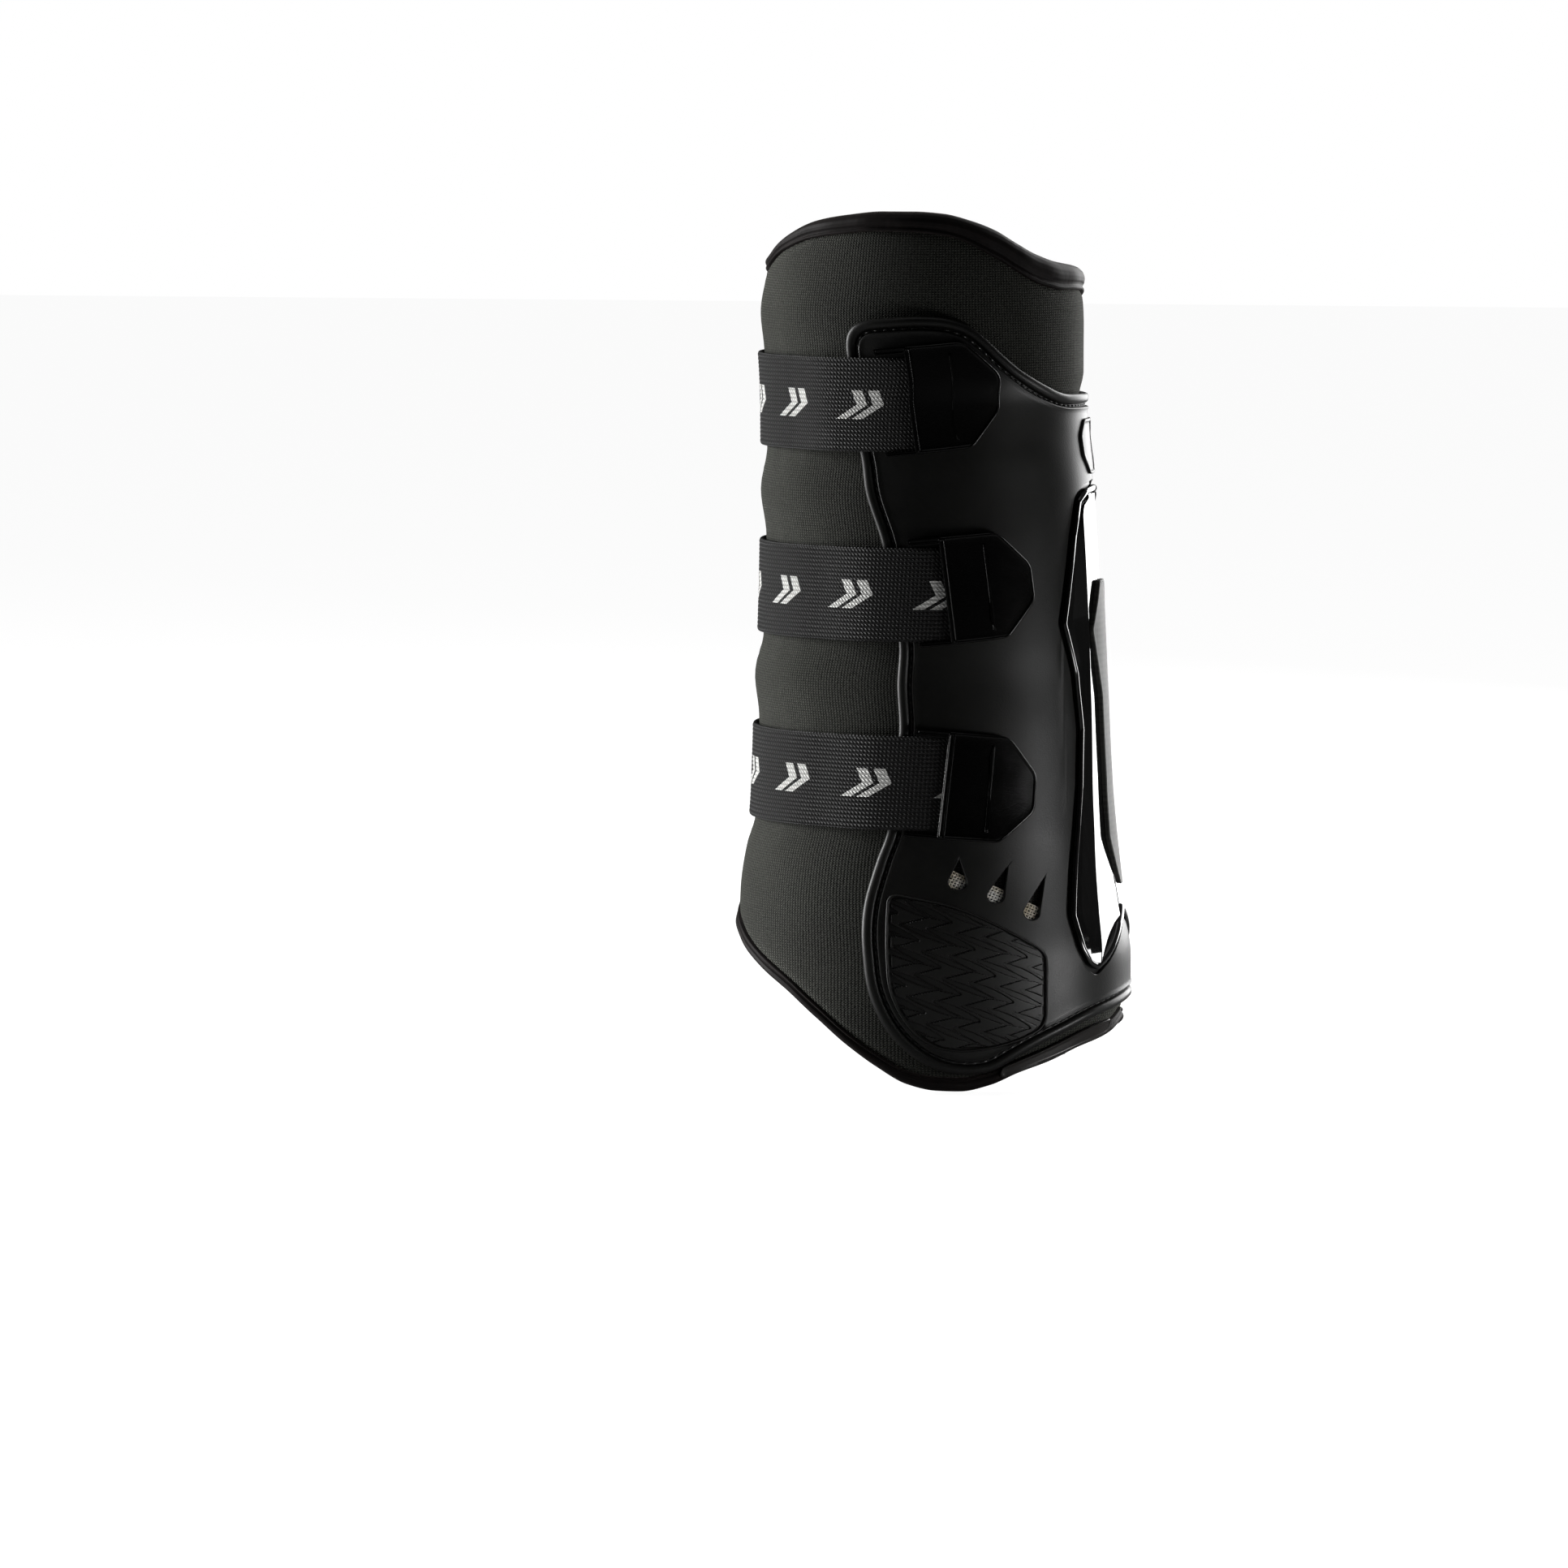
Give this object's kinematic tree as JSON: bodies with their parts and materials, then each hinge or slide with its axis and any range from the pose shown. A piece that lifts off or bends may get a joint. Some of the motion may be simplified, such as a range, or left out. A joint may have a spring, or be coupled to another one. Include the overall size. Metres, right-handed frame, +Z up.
{
  "type": "horse tendon boot",
  "caption": "Horse's tendon boot for the left foreleg: neoprene sleeve opening at the front, moulded guard and glossy spine, elastic straps with peel-off tabs.",
  "frame": {"origin": "the axis of the horse's leg, at the height of the boot's lowest rim", "axes": "+Z up the leg, +X to the back of the leg (the tendon), -Y to the outer side of the left leg"},
  "size_m": [0.1298, 0.1058, 0.2837],
  "materials": {
    "neoprene": "foam rubber faced with a fine dark knit",
    "lining": "soft gel lining, satin",
    "binding": "woven satin binding",
    "guard": "moulded rubbery plastic, matt",
    "gloss": "high gloss",
    "carbon": "matt woven-look moulding",
    "elastic": "glossy woven elastic with white marks",
    "tab": "moulded rubber, smooth",
    "fastener": "hook and loop, dull",
    "wire_mesh": "woven wire mesh",
    "label": "woven label"
  },
  "bodies": {
    "shell": {"neoprene_outer": "neoprene", "gel_liner_outer": "lining", "top_binding_outer": "binding", "hem_binding_outer": "binding", "front_binding_outer": "binding", "guard_outer": "guard", "tread_pad_outer": "guard", "vent_mesh_outer": "wire_mesh", "spine_frame": "gloss", "spine_plate": "gloss", "spine_insert": "carbon", "emblem": "guard", "label": "label", "top_loop_pad": "fastener", "middle_loop_pad": "fastener", "bottom_loop_pad": "fastener"},
    "flap": {"neoprene_inner": "neoprene", "gel_liner_inner": "lining", "top_binding_inner": "binding", "hem_binding_inner": "binding", "front_binding_inner": "binding", "guard_inner": "guard", "tread_pad_inner": "guard", "vent_mesh_inner": "wire_mesh", "top_strap_sewn_end": "elastic", "top_strap_anchor": "guard", "middle_strap_sewn_end": "elastic", "middle_strap_anchor": "guard", "bottom_strap_sewn_end": "elastic", "bottom_strap_anchor": "guard"},
    "top_strap": {"top_strap": "elastic"},
    "top_tab": {"top_tab": "tab", "top_strap_end": "elastic", "top_hook_pad": "fastener"},
    "middle_strap": {"middle_strap": "elastic"},
    "middle_tab": {"middle_tab": "tab", "middle_strap_end": "elastic", "middle_hook_pad": "fastener"},
    "bottom_strap": {"bottom_strap": "elastic"},
    "bottom_tab": {"bottom_tab": "tab", "bottom_strap_end": "elastic", "bottom_hook_pad": "fastener"}
  },
  "joints": [
    {"name": "flap_fold", "type": "hinge", "parent": "shell", "child": "flap", "pos_m": [0.03193, 0.03639, 0.1475], "axis": [0.0404, 0.0247, -0.9989], "range_deg": [0, 80]},
    {"name": "top_strap_swing", "type": "hinge", "parent": "flap", "child": "top_strap", "pos_m": [-0.05757, 0.00448, 0.222], "axis": [0.0276, -0.003, -0.9996], "range_deg": [0, 96]},
    {"name": "middle_strap_swing", "type": "hinge", "parent": "flap", "child": "middle_strap", "pos_m": [-0.05782, 0.00449, 0.161], "axis": [-0.0247, 0.0025, -0.9997], "range_deg": [0, 96]},
    {"name": "bottom_strap_swing", "type": "hinge", "parent": "flap", "child": "bottom_strap", "pos_m": [-0.06024, 0.00479, 0.1005], "axis": [-0.0399, 0.0075, -0.9992], "range_deg": [0, 96]},
    {"name": "top_tab_peel", "type": "hinge", "parent": "top_strap", "child": "top_tab", "pos_m": [-0.00996, -0.04771, 0.222], "axis": [0.1159, 0.0256, -0.9929], "range_deg": [0, 100]},
    {"name": "middle_tab_peel", "type": "hinge", "parent": "middle_strap", "child": "middle_tab", "pos_m": [0.00123, -0.04738, 0.161], "axis": [0.1218, -0.0125, -0.9925], "range_deg": [0, 100]},
    {"name": "bottom_tab_peel", "type": "hinge", "parent": "bottom_strap", "child": "bottom_tab", "pos_m": [0.00062, -0.0504, 0.1005], "axis": [-0.1082, -0.0858, -0.9904], "range_deg": [0, 100]}
  ],
  "couplings": [
    {"joint": "top_strap_swing", "follows": "flap_fold", "ratio": 1.2},
    {"joint": "middle_strap_swing", "follows": "flap_fold", "ratio": 1.2},
    {"joint": "bottom_strap_swing", "follows": "flap_fold", "ratio": 1.2}
  ]
}
